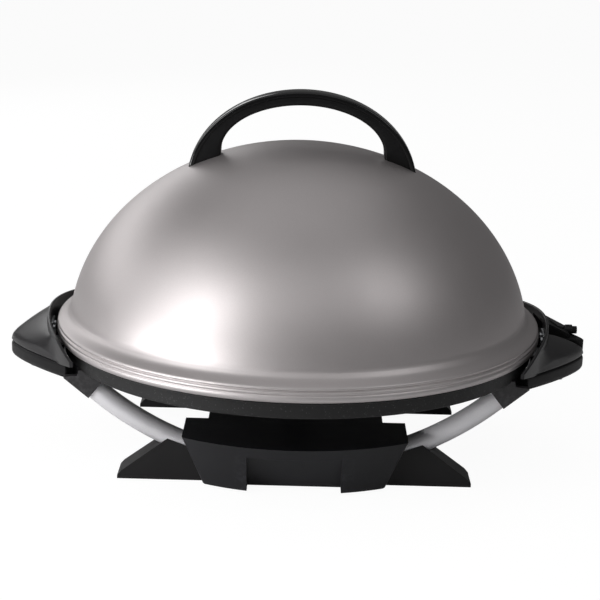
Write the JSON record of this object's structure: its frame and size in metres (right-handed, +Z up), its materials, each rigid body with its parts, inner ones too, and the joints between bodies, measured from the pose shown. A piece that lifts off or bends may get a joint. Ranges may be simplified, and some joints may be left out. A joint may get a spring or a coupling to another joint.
{
  "type": "electric indoor grill",
  "caption": "Round countertop electric grill with a lift-off domed lid, side handles, bent-tube stand, slide-out drip tray and plug-in heat control.",
  "frame": {"origin": "on the table, under the axis of the round lid", "axes": "+X to the right from one side handle to the other, +Y to the back, +Z up; the front faces -Y"},
  "size_m": [0.564, 0.4682, 0.3505],
  "materials": {
    "lid_metal": "satin warm silver",
    "handle_gloss": "polished black",
    "handle_black": "polished black",
    "pan_enamel": "speckled black",
    "plate_nonstick": "dark non-stick coating",
    "element_steel": "heat-stained tube",
    "pin_steel": "polished",
    "bush_ceramic": "unglazed white",
    "bright_aluminium": "rolled",
    "handle_phenolic": "satin black",
    "zinc_steel": "zinc plated",
    "leg_silver": "satin silver",
    "stand_black": "satin black",
    "bracket_grey": "satin dark grey",
    "pad_rubber": "matt",
    "tray_black": "smooth dark grey",
    "control_black": "fine-grained black",
    "contact_brass": "plain",
    "lens_red": "translucent red",
    "dial_black": "satin black"
  },
  "bodies": {
    "base": {"base_pan": "pan_enamel", "grill_plate": "plate_nonstick", "plate_screws": "zinc_steel", "heating_element": "element_steel", "terminal_pins": "pin_steel", "terminal_bushes": "bush_ceramic", "heat_reflector": "bright_aluminium", "drain_spout": "pan_enamel", "left_handle_upper": "handle_phenolic", "left_handle_lower": "handle_phenolic", "right_handle_upper": "handle_phenolic", "right_handle_lower": "handle_phenolic", "side_handle_screws": "zinc_steel", "left_fixing_tab": "zinc_steel", "right_fixing_tab": "zinc_steel", "fixing_tab_screws": "zinc_steel", "front_leg_tube": "leg_silver", "rear_leg_tube": "leg_silver", "front_left_bracket": "bracket_grey", "front_right_bracket": "bracket_grey", "rear_left_bracket": "bracket_grey", "rear_right_bracket": "bracket_grey", "bracket_screws": "zinc_steel", "front_left_foot": "stand_black", "front_right_foot": "stand_black", "rear_left_foot": "stand_black", "rear_right_foot": "stand_black", "foot_screws": "zinc_steel", "foot_pads": "pad_rubber"},
    "lid": {"lid_dome": "lid_metal", "lid_handle_cover": "handle_gloss", "lid_handle_grip": "handle_black", "lid_handle_washers": "zinc_steel", "lid_handle_screws": "zinc_steel"},
    "tray": {"drip_tray": "tray_black"},
    "control": {"control_housing_upper": "control_black", "control_housing_lower": "control_black", "control_screws": "zinc_steel", "control_contacts": "contact_brass", "probe_rod": "pin_steel", "thermostat_block": "contact_brass", "cord_gland": "pad_rubber", "indicator_lens": "lens_red"},
    "dial": {"temperature_dial": "dial_black", "dial_shaft": "zinc_steel"}
  },
  "joints": [
    {"name": "lid_lift", "type": "slide", "parent": "base", "child": "lid", "axis": [0, 0, 1], "range_m": [0, 0.25]},
    {"name": "tray_pull", "type": "slide", "parent": "base", "child": "tray", "axis": [0, -1, 0], "range_m": [0, 0.24]},
    {"name": "control_pull", "type": "slide", "parent": "base", "child": "control", "axis": [1, 0, 0], "range_m": [0, 0.12]},
    {"name": "dial_turn", "type": "hinge", "parent": "control", "child": "dial", "pos_m": [0.2579, 0.022, 0.12145], "axis": [0.4472, 0, 0.8944], "range_deg": [0, 270]}
  ]
}
